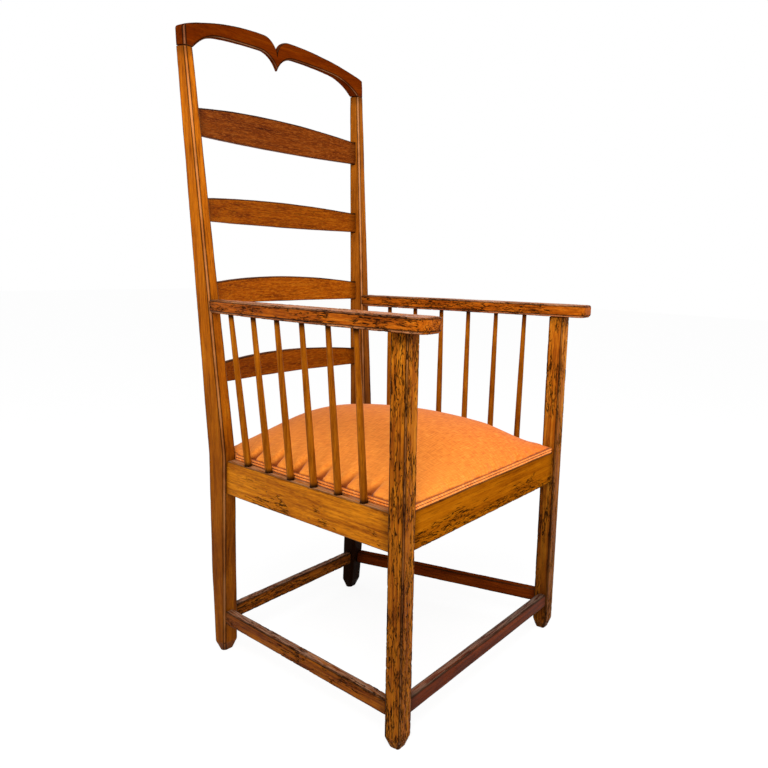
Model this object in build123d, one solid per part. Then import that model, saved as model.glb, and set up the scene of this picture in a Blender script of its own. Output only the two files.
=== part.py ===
from build123d import *
import os
from math import atan2, cos, degrees

# Ladder back armchair in oak, with an upholstered seat. Lengths are in millimetres.
# Z is up and the sitter faces -Y. Left and right are as seen from the front.
# Depths count from the front posts' front faces, until the last step moves the
# finished chair so that the middle of its footprint is the origin.

# Seat frame
seat_frame_height = 400.0
seat_rail_height = 66.5
seat_rail_thickness = 26.5
seat_rail_inset = 6.0
seat_rail_arris = 1.5
rear_rail_setback = 12.0
rail_tenon_thickness = 8.0
rail_tenon_shoulder = 8.0
rail_tenon_wall = 0.6

# Front posts
front_width = 564.5
front_post_size = 32.5
front_post_arris = 2.5
arm_tenon_size = 16.0
arm_tenon_length = 14.0

# Rear posts, bent above the seat and tapered both ways
rear_width_floor = 422.0
rear_width_top = 479.0
rear_post_width_floor = 36.5
rear_post_width_top = 19.5
rear_post_height = 1129.0
seat_depth = 459.2
post_bend_height = 410.0
post_bend_radius = 150.0
post_knee_height = 180.0
post_kick = 24.8
post_rake = 50.1
post_depth_floor = 25.0
post_depth_knee = 36.0
post_depth_bend = 42.3
post_depth_top = 23.1
rear_post_arris = 4.0
rear_post_back_arris = 1.5

# Feet
foot_height = 20.0
foot_taper = 6.5

# Low stretchers
stretcher_underside = 55.5
stretcher_height = 27.5
stretcher_thickness = 18.0
stretcher_inset = 2.5
stretcher_rear_rise = 7.5
rear_stretcher_setback = 5.5
stretcher_arris = 1.5
stretcher_tenon_thickness = 8.0
stretcher_tenon_length = 9.5
stretcher_tenon_shoulder = 5.0

# Arms
arm_underside_front = 681.0
arm_thickness = 25.0
arm_rear_fall = 6.0
arm_front_overhang = 43.0
arm_side_overhang = 23.0
arm_inner_overhang = 2.0
arm_bow = 11.0
arm_corner_radius = 18.0
arm_top_chamfer = 2.5
arm_bottom_chamfer = 4.5
arm_end_tenon_width = 14.0
arm_end_tenon_height = 14.0
arm_end_tenon_length = 9.5

# Spindles under the arms
spindle_count = 6
spindle_front_gap = 65.0
spindle_rear_gap = 54.8
spindle_inset = 9.0
spindle_lean = 18.0
spindle_base_diameter = 12.8
spindle_middle_diameter = 11.6
spindle_top_diameter = 9.0
spindle_rail_socket = 14.0
spindle_arm_socket = 12.0

# Slats of the back, graduated and bowed
slat_count = 4
first_slat_height = 542.0
top_slat_drop = 144.2
slat_thickness = 10.0
slat_back_inset = 6.5
slat_tenon_length = 9.0
back_bow = 20.0
top_slat_end_height = 45.0
slat_end_height_shares = (0.79, 0.83, 0.89, 1.0)
top_slat_crown = 16.0
slat_crown_shares = (0.72, 0.82, 0.6, 1.0)
slat_arris = 1.8

# Crest rail on the posts' tops
crest_middle_height = 67.0
crest_shoulder_height = 32.0
crest_rail_height = 30.5
crest_middle_thickness = 9.5
crest_corner_radius = 7.0
notch_half_width = 33.0
notch_depth = 24.5
cusp_half_width = 45.0
cusp_drop = 29.5
crest_lower_arris = 2.6
crest_upper_arris = 1.4
crest_back_arris = 1.4
crest_haunch_share = 0.6
crest_haunch_rise_share = 0.85
crest_post_drop = 12.0
crest_post_overlap = 1.6
crest_tenon_diameter = 9.0
crest_tenon_length = 16.0

# Upholstered seat
webbing_width = 50.0
webbing_thickness = 1.6
long_strap_count = 5
cross_strap_count = 4
strap_step_length = 8.0
strap_margin = 2.0
deck_thickness = 1.0
deck_margin = 1.2
cushion_crown = 96.0
cushion_side_height = 21.0
cushion_side_inset = 16.2
cushion_side_swell = 0.8
cushion_draw = 14.0
welt_cord_diameter = 5.0
welt_cord_count = 2
welt_cord_arris = 1.4

# Fits
joint_clearance = 0.15
soft_clearance = 0.3
cut_overrun = 2.0

# Worked out once for all pieces
rail_tenon_near_side = seat_rail_inset + (seat_rail_thickness + rail_tenon_thickness) / 2
rail_tenon_length = front_post_size - rail_tenon_near_side - 2 * joint_clearance - rail_tenon_wall
front_outer = front_width / 2
front_inner = front_outer - front_post_size
seat_rail_underside = seat_frame_height - seat_rail_height
back_tilt = atan2(post_rake + post_depth_top - post_depth_bend, rear_post_height - post_bend_height)
back_tilt_degrees = degrees(back_tilt)


def blend(low, high, share):
    return low + (high - low) * share


def rear_outer(height):
    """Half the width over the rear posts at a height."""
    return blend(rear_width_floor, rear_width_top, height / rear_post_height) / 2


def rear_inner(height):
    """Half the clear width between the rear posts at a height."""
    return rear_outer(height) - blend(rear_post_width_floor, rear_post_width_top, height / rear_post_height)


def rear_front_face(height):
    """Depth of the rear posts' front faces at a height."""
    if height < post_bend_height:
        return seat_depth + post_kick * (1 - height / post_bend_height)
    return seat_depth + post_rake * (height - post_bend_height) / (rear_post_height - post_bend_height)


def rear_back_face(height):
    """Depth of the rear posts' back faces from the bend upwards."""
    share = (height - post_bend_height) / (rear_post_height - post_bend_height)
    return rear_front_face(height) + blend(post_depth_bend, post_depth_top, share)


def polygon(points):
    return Face(Wire.make_polygon([Vector(*point) for point in points], close=True))


def eased(low_u, high_u, low_v, high_v, arris, far_arris=None):
    """Corners of a rectangle with its arrises taken off, the far ones by their own amount."""
    far = arris if far_arris is None else far_arris
    return [
        (low_u + arris, low_v),
        (high_u - arris, low_v),
        (high_u, low_v + arris),
        (high_u, high_v - far),
        (high_u - far, high_v),
        (low_u + far, high_v),
        (low_u, high_v - far),
        (low_u, low_v + arris),
    ]


def level_section(height, x_span, y_span, arris, far_arris=None):
    return polygon([(u, v, height) for u, v in eased(*x_span, *y_span, arris, far_arris)])


def cross_section(depth, x_span, z_span, arris):
    return polygon([(u, depth, v) for u, v in eased(*x_span, *z_span, arris)])


def side_section(place, y_span, z_span, arris):
    return polygon([(place, u, v) for u, v in eased(*y_span, *z_span, arris)])


def joined(sections):
    return loft(sections, ruled=True)


def upright(face, low, high):
    """A plan made solid between two heights."""
    return extrude(Pos(0, 0, low) * face, high - low, dir=(0, 0, 1))


def block(x_span, y_span, z_span):
    size = [high - low for low, high in (x_span, y_span, z_span)]
    middle = [(high + low) / 2 for low, high in (x_span, y_span, z_span)]
    return Pos(*middle) * Box(*size)


# Posts

def front_post_envelope():
    """Right front post, straight, with a tapered foot, a little longer than it ends."""
    top = arm_underside_front + arm_thickness
    x_span = (front_inner, front_outer)
    y_span = (0, front_post_size)
    foot_x = (front_inner + foot_taper, front_outer - foot_taper)
    foot_y = (foot_taper, front_post_size - foot_taper)
    return joined([
        level_section(0, foot_x, foot_y, front_post_arris),
        level_section(foot_height, x_span, y_span, front_post_arris),
        level_section(top, x_span, y_span, front_post_arris),
    ])


def rear_post_section(height, depth_share, inset=0):
    front = rear_front_face(height) + inset
    back = rear_front_face(height) + depth_share - inset
    x_span = (rear_inner(height) + inset, rear_outer(height) - inset)
    return level_section(height, x_span, (front, back), rear_post_arris, rear_post_back_arris)


def rear_post_envelope():
    """Right rear post: foot, knee, bend above the seat and raked upper length."""
    foot_depth = blend(post_depth_floor, post_depth_knee, foot_height / post_knee_height)
    post = joined([
        rear_post_section(0, post_depth_floor, foot_taper),
        rear_post_section(foot_height, foot_depth),
        rear_post_section(post_knee_height, post_depth_knee),
        rear_post_section(post_bend_height, post_depth_bend),
        rear_post_section(rear_post_height, post_depth_top),
    ])
    bend = post.edges().filter_by_position(Axis.Z, post_bend_height - joint_clearance,
                                           post_bend_height + joint_clearance)
    across = [edge for edge in bend if abs(edge.tangent_at(0).X) > abs(edge.tangent_at(0).Y) / 2]
    return fillet(across, post_bend_radius)


# Rails and stretchers between the posts

class SideBar:
    """A bar from a front post to the rear post behind it, with a tenon at each end."""

    def __init__(self, underside, height, thickness, inset, rise, tenon, arris):
        middle = underside + rise + height / 2
        self.low = (underside, underside + rise)
        self.height = height
        self.thickness = thickness
        self.shoulders = (front_post_size, rear_front_face(middle))
        self.outer = (front_outer - inset, rear_outer(middle) - inset)
        self.tenon_thickness, self.tenon_length, self.tenon_shoulder = tenon
        self.arris = arris

    def spans(self, depth, thickness, shoulder):
        share = (depth - self.shoulders[0]) / (self.shoulders[1] - self.shoulders[0])
        middle = blend(*self.outer, share) - self.thickness / 2
        low = blend(*self.low, share)
        return (middle - thickness / 2, middle + thickness / 2), (low + shoulder, low + self.height - shoulder)

    def stretch(self, depths, thickness, shoulder, arris):
        return joined([cross_section(depth, *self.spans(depth, thickness, shoulder), arris) for depth in depths])

    def body(self, rear_post):
        end = self.shoulders[1] + seat_rail_thickness / 2
        return self.stretch((self.shoulders[0], end), self.thickness, 0, self.arris) - rear_post

    def tenons(self, grow):
        depths = (self.shoulders[0] - self.tenon_length - grow, self.shoulders[1] + self.tenon_length + grow)
        thickness = self.tenon_thickness + 2 * grow
        return self.stretch(depths, thickness, self.tenon_shoulder - grow, joint_clearance)

    def piece(self, rear_post):
        return self.body(rear_post) + self.tenons(0)


class CrossBar:
    """A bar from the left post to the right post, with a tenon at each end."""

    def __init__(self, reach, front, thickness, underside, height, tenon, arris):
        self.reach = reach
        self.y_span = (front, front + thickness)
        self.z_span = (underside, underside + height)
        self.tenon_thickness, self.tenon_length, self.tenon_shoulder = tenon
        self.arris = arris

    def piece(self, posts):
        end = self.reach + self.tenon_length
        body = joined([side_section(place, self.y_span, self.z_span, self.arris) for place in (-end, end)])
        return (body - posts) + self.tenons(0)

    def tenons(self, grow):
        end = self.reach + self.tenon_length + grow
        middle = sum(self.y_span) / 2
        half = self.tenon_thickness / 2 + grow
        z_span = (self.z_span[0] + self.tenon_shoulder - grow, self.z_span[1] - self.tenon_shoulder + grow)
        return joined([side_section(place, (middle - half, middle + half), z_span, joint_clearance)
                       for place in (-end, end)])


rail_tenon = (rail_tenon_thickness, rail_tenon_length, rail_tenon_shoulder)
stretcher_tenon = (stretcher_tenon_thickness, stretcher_tenon_length, stretcher_tenon_shoulder)
seat_rail_middle = seat_rail_underside + seat_rail_height / 2
rear_stretcher_underside = stretcher_underside + stretcher_rear_rise
rear_stretcher_middle = rear_stretcher_underside + stretcher_height / 2

side_rail = SideBar(seat_rail_underside, seat_rail_height, seat_rail_thickness, seat_rail_inset,
                    0, rail_tenon, seat_rail_arris)
side_stretcher = SideBar(stretcher_underside, stretcher_height, stretcher_thickness, stretcher_inset,
                         stretcher_rear_rise, stretcher_tenon, stretcher_arris)
front_rail = CrossBar(front_inner, seat_rail_inset, seat_rail_thickness, seat_rail_underside,
                      seat_rail_height, rail_tenon, seat_rail_arris)
rear_rail_front = rear_front_face(seat_rail_underside) + rear_rail_setback
rear_rail = CrossBar(rear_inner(seat_rail_middle), rear_rail_front, seat_rail_thickness, seat_rail_underside,
                     seat_rail_height, rail_tenon, seat_rail_arris)
front_stretcher = CrossBar(front_inner, stretcher_inset, stretcher_thickness, stretcher_underside,
                           stretcher_height, stretcher_tenon, stretcher_arris)
rear_stretcher_front = rear_front_face(rear_stretcher_middle) + rear_stretcher_setback
rear_stretcher = CrossBar(rear_inner(rear_stretcher_middle), rear_stretcher_front, stretcher_thickness,
                          rear_stretcher_underside, stretcher_height, stretcher_tenon, stretcher_arris)


# Arms, built level with their underside at zero and then tipped down to the rear

arm_rear_height = arm_underside_front - arm_rear_fall + arm_thickness / 2
arm_rear_depth = rear_front_face(arm_rear_height)
arm_tilt_degrees = degrees(atan2(-arm_rear_fall, arm_rear_depth))
arm_place = Pos(0, 0, arm_underside_front) * Rot(arm_tilt_degrees, 0, 0)


def arm_edges(depth):
    """Inner and outer edge of the right arm at a depth, without its rounded corners."""
    share = (depth + arm_front_overhang) / (arm_rear_depth + arm_front_overhang)
    inner = blend(front_inner - arm_inner_overhang, rear_inner(arm_rear_height), share)
    outer = blend(front_outer + arm_side_overhang, rear_outer(arm_rear_height), share)
    return inner, outer + 4 * arm_bow * share * (1 - share)


def arm_board():
    """Right arm: straight inner edge, bowed outer edge, rounded front corners, chamfers all round."""
    end = arm_rear_depth + cut_overrun
    inner_front, outer_front = arm_edges(-arm_front_overhang)
    inner_end, outer_end = arm_edges(end)
    middle_depth = (end - arm_front_overhang) / 2
    outline = Polyline((outer_front, -arm_front_overhang), (inner_front, -arm_front_overhang),
                       (inner_end, end), (outer_end, end))
    outline += ThreePointArc((outer_end, end), (arm_edges(middle_depth)[1], middle_depth),
                             (outer_front, -arm_front_overhang))
    plan = make_face(outline)
    front_corners = plan.vertices().sort_by(Axis.Y)[:2]
    board = extrude(fillet(front_corners, arm_corner_radius), arm_thickness)
    rear_edges = board.faces().sort_by(Axis.Y)[-1].edges()
    top = [edge for edge in board.faces().sort_by(Axis.Z)[-1].edges() if edge not in rear_edges]
    board = chamfer(top, arm_top_chamfer)
    rear_edges = board.faces().sort_by(Axis.Y)[-1].edges()
    bottom = [edge for edge in board.faces().sort_by(Axis.Z)[0].edges() if edge not in rear_edges]
    return chamfer(bottom, arm_bottom_chamfer)


def arm_end_tenon(grow):
    middle = (rear_inner(arm_rear_height) + rear_outer(arm_rear_height)) / 2
    half = arm_end_tenon_width / 2 + grow
    rise = arm_thickness / 2
    tall = arm_end_tenon_height / 2 + grow
    return arm_place * block((middle - half, middle + half),
                             (arm_rear_depth - arm_end_tenon_length, arm_rear_depth + arm_end_tenon_length + grow),
                             (rise - tall, rise + tall))


def post_top_tenon(grow):
    middle_x = front_inner + front_post_size / 2
    middle_y = front_post_size / 2
    half = arm_tenon_size / 2 + grow
    return arm_place * block((middle_x - half, middle_x + half), (middle_y - half, middle_y + half),
                             (-arm_tenon_length, arm_tenon_length + grow))


def above_arm_underside():
    reach = front_width
    return arm_place * block((0, reach), (-reach / 2, reach / 2), (0, arm_thickness * 2))


# Spindles

rail_rear_depth = rear_front_face(seat_frame_height)
first_spindle_depth = front_post_size + spindle_front_gap
spindle_pitch = (rail_rear_depth - spindle_rear_gap - first_spindle_depth) / (spindle_count - 1)


def spindle_line(index):
    """Foot on the right side rail and head under the arm, fanned out as the arm is longer."""
    foot_depth = first_spindle_depth + index * spindle_pitch
    head_depth = foot_depth * arm_rear_depth / rail_rear_depth
    foot_x = side_rail.spans(foot_depth, side_rail.thickness, 0)[0][1] - spindle_inset
    head_z = arm_underside_front - arm_rear_fall * head_depth / arm_rear_depth
    return Vector(foot_x, foot_depth, seat_frame_height), Vector(foot_x + spindle_lean, head_depth, head_z)


def spindle(index, grow):
    """A turned spindle, swelling towards its foot, with its ends as long as their sockets."""
    foot, head = spindle_line(index)
    axis = head - foot
    length = axis.length
    base = spindle_base_diameter / 2 + grow
    middle = spindle_middle_diameter / 2 + grow
    top = spindle_top_diameter / 2 + grow
    low = -spindle_rail_socket - grow
    high = length + spindle_arm_socket + grow
    side = Polyline((0, low), (base, low), (base, 0), (middle, length / 2), (top, length), (top, high),
                    (0, high), close=True)
    turned = revolve(Plane.XZ * make_face(side), Axis.Z)
    return Plane(origin=foot, x_dir=(0, 1, 0), z_dir=axis).location * turned


# Back: slats and crest share a frame that lies on the posts' back faces

back_place = Pos(0, seat_depth + post_depth_bend, post_bend_height) * Rot(-back_tilt_degrees, 0, 0)


def back_rise(height):
    """Distance along the tilted back for a height above the floor."""
    return (height - post_bend_height) / cos(back_tilt)


def bowed_slab(half, back_inset, thickness, low, high, middle_thickness, end=0):
    """A slab bowed backwards between two sides, with straight ends beyond them."""
    rear_bow = back_bow - thickness + middle_thickness
    rear = [(-half - end, -back_inset), (-half, -back_inset), (half, -back_inset), (half + end, -back_inset)]
    front = [(x, y - thickness) for x, y in rear]
    outline = ThreePointArc(rear[1], (0, rear_bow - back_inset), rear[2])
    outline += ThreePointArc(front[1], (0, back_bow - back_inset - thickness), front[2])
    if end:
        outline += Polyline(rear[2], rear[3], front[3], front[2])
        outline += Polyline(rear[1], rear[0], front[0], front[1])
    else:
        outline += Line(rear[2], front[2]) + Line(rear[1], front[1])
    return extrude(Pos(0, 0, low) * make_face(outline), high - low)


def elevation(outline):
    """A face in the tilted back's own plane made solid through the bow."""
    reach = back_bow + post_depth_bend
    return extrude(Plane.XZ * make_face(outline), reach, both=True)


slat_pitch = (rear_post_height - top_slat_drop - first_slat_height) / (slat_count - 1)


def slat(index, grow):
    """A slat with a straight lower edge and an arched upper edge."""
    underside = back_rise(first_slat_height + index * slat_pitch)
    end_height = top_slat_end_height * slat_end_height_shares[index]
    crown = top_slat_crown * slat_crown_shares[index]
    clear = rear_inner(first_slat_height + index * slat_pitch + end_height / 2)
    half = clear + slat_tenon_length + grow
    low = underside - grow
    high = underside + end_height + grow
    outline = Polyline((-half, high), (-half, low), (half, low), (half, high))
    outline += ThreePointArc((half, high), (0, high + crown), (-half, high))
    thickness = slat_thickness + 2 * grow
    slab = bowed_slab(half, slat_back_inset - grow, thickness,
                      low - cut_overrun, high + crown + cut_overrun, thickness)
    return slab, elevation(outline)


def slat_piece(index):
    slab, face = slat(index, 0)
    piece = slab & face
    front = piece.faces().filter_by(GeomType.CYLINDER).sort_by(Axis.Y)[0]
    long_edges = [edge for edge in front.edges() if edge.length > top_slat_end_height * 2]
    return back_place * chamfer(long_edges, slat_arris)


def slat_mortise(index):
    slab, face = slat(index, joint_clearance)
    return back_place * (slab & face)


def crest_outline():
    """Crest in elevation: arched rail with a notch above and a pointed cusp below."""
    base = back_rise(rear_post_height)
    inner = rear_inner(rear_post_height)
    outer = rear_outer(rear_post_height)
    foot = base - crest_post_drop
    shoulder = base + crest_shoulder_height
    crown = base + crest_middle_height
    notch = crown - notch_depth
    lower_crown = crown - crest_rail_height
    cusp = lower_crown - cusp_drop
    haunch = blend(cusp_half_width, inner, crest_haunch_share)
    haunch_rise = blend(base, lower_crown, crest_haunch_rise_share)
    arch = TangentArc((cusp_half_width, lower_crown), (haunch, haunch_rise), tangent=(1, 0))
    landing = base - crest_post_overlap
    outline = Polyline((inner, landing), (inner, foot), (outer, foot), (outer, shoulder))
    outline += TangentArc((notch_half_width, crown), (outer, shoulder), tangent=(1, 0))
    outline += TangentArc((notch_half_width, crown), (0, notch), tangent=(-1, 0))
    outline += Line((0, notch), (0, cusp))
    outline += TangentArc((cusp_half_width, lower_crown), (0, cusp), tangent=(-1, 0))
    outline += arch
    outline += TangentArc((haunch, haunch_rise), (inner, landing), tangent=arch % 1)
    return outline


def crest_blank():
    """Whole crest, bowed between its ends, which lie flat on the posts."""
    inner = rear_inner(rear_post_height)
    outer = rear_outer(rear_post_height)
    low = back_rise(rear_post_height) - crest_post_drop - cut_overrun
    high = back_rise(rear_post_height) + crest_middle_height + cut_overrun
    face = make_face(crest_outline())
    corner = face.vertices().group_by(Axis.X)[-1].sort_by(Axis.Y)[-1]
    half = extrude(Plane.XZ * fillet(corner, crest_corner_radius), back_bow + post_depth_bend, both=True)
    slab = bowed_slab(inner, 0, post_depth_top, low, high, crest_middle_thickness, outer - inner)
    return slab & (half + mirror(half, about=Plane.YZ))


def bowed_rims(solid, side):
    """Lower and upper edges of the crest's bowed front face, side 0, or back face, side 1."""
    bowed = solid.faces().filter_by(GeomType.CYLINDER).sort_by(SortBy.AREA)[-2:]
    edges = bowed.sort_by(Axis.Y)[side].edges()
    long_edges = [edge for edge in edges if edge.bounding_box().size.X > crest_lower_arris]
    middle = solid.center().Z
    lower = [edge for edge in long_edges if edge.center().Z < middle]
    upper = [edge for edge in long_edges if edge.center().Z > middle]
    return lower, upper


def crest_tenons(grow):
    middle = (rear_inner(rear_post_height) + rear_outer(rear_post_height)) / 2
    depth = rear_back_face(rear_post_height) - post_depth_top / 2
    tall = crest_tenon_length + grow
    return Pos(middle, depth, rear_post_height) * Cylinder(crest_tenon_diameter / 2 + grow, 2 * tall)


def crest_rail():
    blank = crest_blank()
    lower, upper = bowed_rims(blank, 1)
    whole = chamfer(lower + upper, crest_back_arris)
    whole = chamfer(bowed_rims(whole, 0)[1], crest_upper_arris)
    whole = chamfer(bowed_rims(whole, 0)[0], crest_lower_arris)
    reach = front_width
    below = block((-reach, reach), (0, 2 * reach), (0, rear_post_height))
    holes = crest_tenons(joint_clearance)
    return (back_place * whole) - below - holes - mirror(holes, about=Plane.YZ)


# Upholstery

long_strap_underside = seat_frame_height
cross_strap_rise = webbing_thickness
deck_underside = seat_frame_height + 2 * webbing_thickness
deck_top = deck_underside + deck_thickness
welt_height = welt_cord_count * welt_cord_diameter
seat_edge_front = seat_rail_inset
seat_edge_rear = rear_rail_front + seat_rail_thickness
deck_inset = welt_cord_diameter + deck_margin
strap_inset = deck_inset + strap_margin


def side_line(depth, inset):
    """Half width at a depth, measured in from the side rails' outer faces."""
    return side_rail.spans(depth, side_rail.thickness, 0)[0][1] - inset


def seat_plan(inset):
    """Plan of the upholstery, notched round the four posts and clear of the spindles."""
    gap = soft_clearance
    front_side = front_post_size + gap
    rear_side = seat_depth - gap
    front_notch = front_inner - gap
    rear_notch = rear_inner(seat_frame_height) - gap
    right = [
        (front_notch, seat_edge_front),
        (front_notch, front_side),
        (side_line(front_side, cushion_side_inset), front_side),
        (side_line(rear_side, cushion_side_inset), rear_side),
        (rear_notch, rear_side),
        (rear_notch, seat_edge_rear),
    ]
    left = [(-x, y) for x, y in reversed(right)]
    return offset(make_face(Polyline(*right, *left, close=True)), -inset, kind=Kind.INTERSECTION)


def long_straps():
    """Straps laid from the front rail's top to the rear rail's top."""
    front = seat_edge_front + strap_inset
    rear = seat_edge_rear - strap_inset
    reach = rear_inner(seat_frame_height) - soft_clearance - strap_inset - webbing_width / 2
    pitch = 2 * reach / (long_strap_count - 1)
    high = long_strap_underside + webbing_thickness
    places = [index * pitch - reach for index in range(long_strap_count)]
    return [block((place - webbing_width / 2, place + webbing_width / 2), (front, rear),
                  (long_strap_underside, high)) for place in places]


def cross_strap(middle):
    """A strap that lies on the side rails and steps up over the long straps."""
    edge = middle + webbing_width / 2
    end = side_line(edge, cushion_side_inset + strap_inset)
    step = side_line(edge, seat_rail_thickness)
    inner = step - strap_step_length
    low = seat_frame_height
    high = low + cross_strap_rise
    top = high + webbing_thickness
    points = [(-end, low), (-step, low), (-inner, high), (inner, high), (step, low), (end, low),
              (end, high), (step, high), (inner, top), (-inner, top), (-step, high), (-end, high)]
    profile = make_face(Polyline(*points, close=True))
    return extrude(Plane.XZ.offset(-middle) * profile, webbing_width / 2, both=True)


def cross_straps():
    front = seat_rail_inset + seat_rail_thickness
    pitch = (seat_depth - front) / cross_strap_count
    return [cross_strap(front + pitch * (index + 1 / 2)) for index in range(cross_strap_count)]


def seat_deck():
    """Hessian over the webbing."""
    return upright(seat_plan(deck_inset), deck_underside, deck_top)


def seat_welt():
    """Cords of the welt, one above the other, round the foot of the cover."""
    ring = seat_plan(0) - seat_plan(welt_cord_diameter)
    cords = []
    for index in range(welt_cord_count):
        level = seat_frame_height + index * welt_cord_diameter
        cord = upright(ring, level, level + welt_cord_diameter)
        rim = [edge for face in (cord.faces().sort_by(Axis.Z)[0], cord.faces().sort_by(Axis.Z)[-1])
               for edge in face.outer_wire().edges()]
        cords.append(chamfer(rim, welt_cord_arris))
    return sum(cords[1:], cords[0])


def cushion_section(depth_share, crown_share, side_share):
    """Section across the cushion: flat underneath, drawn-in sides and a crowned top."""
    depth = blend(seat_edge_front - cut_overrun, seat_edge_rear + cut_overrun, depth_share)
    half = side_line(depth, cushion_side_inset) + cut_overrun
    low = seat_frame_height
    side = cushion_side_height * side_share
    rise = low + cushion_crown * crown_share
    swell = (half + cushion_side_swell, low + side / 2)
    shoulder = (half - cushion_draw * side_share, low + side)
    outline = Line((-half, low), (half, low))
    outline += ThreePointArc((half, low), swell, shoulder)
    outline += ThreePointArc(shoulder, (0, rise), (-shoulder[0], shoulder[1]))
    outline += ThreePointArc((-shoulder[0], shoulder[1]), (-swell[0], swell[1]), (-half, low))
    return Plane.XZ.offset(-depth) * make_face(outline)


# Shares of the depth, of the crown's height and of the side's height at each section
cushion_section_shares = (
    (0.0, 0.2, 0.62),
    (0.04, 0.36, 0.78),
    (0.1, 0.56, 0.9),
    (0.22, 0.8, 1.0),
    (0.5, 1.0, 1.0),
    (0.78, 0.9, 1.0),
    (0.9, 0.68, 0.95),
    (0.97, 0.4, 0.8),
    (1.0, 0.24, 0.62),
)


def seat_cushion():
    """Cover and stuffing, trimmed to its plan and resting on the rails and the deck."""
    body = loft([cushion_section(*shares) for shares in cushion_section_shares])
    floor = seat_frame_height - cut_overrun
    body &= upright(seat_plan(0), floor, seat_frame_height + cushion_crown + cut_overrun)
    welt_space = upright(seat_plan(-cut_overrun), floor, seat_frame_height + welt_height + soft_clearance)
    welt_space -= upright(seat_plan(welt_cord_diameter + soft_clearance), floor, cushion_crown * 2 + floor)
    pocket = upright(seat_plan(deck_inset - soft_clearance / 2), floor, deck_top)
    return body - welt_space - pocket


# Assembly

def export(name, shape):
    export_step(shape, os.path.join("parts", name + ".step"))


def build():
    nodes = {}
    front_post = front_post_envelope()
    rear_post = rear_post_envelope()
    rear_posts = rear_post + mirror(rear_post, about=Plane.YZ)
    front_posts = front_post + mirror(front_post, about=Plane.YZ)

    nodes["seat_rail_front"] = front_rail.piece(front_posts)
    nodes["seat_rail_rear"] = rear_rail.piece(rear_posts)
    nodes["stretcher_front"] = front_stretcher.piece(front_posts)
    nodes["stretcher_rear"] = rear_stretcher.piece(rear_posts)
    right_rail = side_rail.piece(rear_post)
    right_stretcher = side_stretcher.piece(rear_post)
    slats = [slat_piece(index) for index in range(slat_count)]
    for index, piece in enumerate(slats):
        nodes[f"back_slat_{index + 1}"] = piece
    nodes["crest_rail"] = crest_rail()

    right_front = front_post - above_arm_underside() + post_top_tenon(0)
    for bar in (front_rail, front_stretcher, side_rail, side_stretcher):
        right_front -= bar.tenons(joint_clearance)
    right_rear = rear_post - arm_end_tenon(joint_clearance) + crest_tenons(0)
    for bar in (rear_rail, rear_stretcher, side_rail, side_stretcher):
        right_rear -= bar.tenons(joint_clearance)
    for index in range(slat_count):
        right_rear -= slat_mortise(index)

    right_arm = arm_place * arm_board() - rear_post
    right_arm = right_arm + arm_end_tenon(0) - post_top_tenon(joint_clearance)
    for index in range(spindle_count):
        socket = spindle(index, joint_clearance)
        right_rail -= socket
        right_arm -= socket

    pairs = {
        "front_post": right_front,
        "rear_post": right_rear,
        "seat_rail": right_rail,
        "stretcher": right_stretcher,
        "arm": right_arm,
    }
    for index in range(spindle_count):
        pairs[f"spindle_{index + 1}"] = spindle(index, 0)
    for name, piece in pairs.items():
        nodes[f"{name}_right"] = piece
        nodes[f"{name}_left"] = mirror(piece, about=Plane.YZ)

    for index, piece in enumerate(long_straps()):
        nodes[f"seat_strap_long_{index + 1}"] = piece
    for index, piece in enumerate(cross_straps()):
        nodes[f"seat_strap_cross_{index + 1}"] = piece
    nodes["seat_deck"] = seat_deck()
    nodes["seat_welt"] = seat_welt()
    nodes["seat_cushion"] = seat_cushion()
    return nodes


def main():
    os.makedirs("parts", exist_ok=True)
    nodes = build()
    front = nodes["arm_right"].bounding_box().min.Y
    rear = nodes["crest_rail"].bounding_box().max.Y
    centre = Pos(0, -(front + rear) / 2, 0)
    for name, shape in nodes.items():
        export(name, centre * shape)


main()
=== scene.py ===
import math

import bmesh
import bpy
import numpy as np
from mathutils import Matrix, Vector


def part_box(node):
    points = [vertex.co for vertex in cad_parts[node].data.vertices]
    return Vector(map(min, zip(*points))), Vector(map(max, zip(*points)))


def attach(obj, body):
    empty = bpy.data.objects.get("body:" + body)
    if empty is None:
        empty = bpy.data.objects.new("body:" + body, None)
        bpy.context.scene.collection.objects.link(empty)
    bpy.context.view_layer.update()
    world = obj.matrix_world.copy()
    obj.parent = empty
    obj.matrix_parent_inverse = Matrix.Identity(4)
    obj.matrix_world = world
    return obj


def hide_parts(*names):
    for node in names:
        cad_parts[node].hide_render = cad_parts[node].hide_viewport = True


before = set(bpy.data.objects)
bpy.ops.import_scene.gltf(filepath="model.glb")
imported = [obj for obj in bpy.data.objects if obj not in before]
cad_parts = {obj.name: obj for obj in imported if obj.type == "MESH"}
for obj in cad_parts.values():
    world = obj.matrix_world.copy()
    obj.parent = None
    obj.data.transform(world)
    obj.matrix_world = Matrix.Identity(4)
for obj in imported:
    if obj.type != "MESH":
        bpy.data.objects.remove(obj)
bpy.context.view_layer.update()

MM = 0.001

# Photograph's viewpoint, in degrees and in metres from the floor midway between the front posts' faces
CAMERA_PLACE = Vector((-1.2226, -0.6774, 0.7908))
CAMERA_TURN = -59.83
CAMERA_TIP = 11.27
CAMERA_ROLL = 2.26
IMAGE_SIDE = 768
FOCAL_PIXELS = 794.74
CENTRE_PIXEL = (482.66, 417.15)
SENSOR_WIDTH = 36.0

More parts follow.
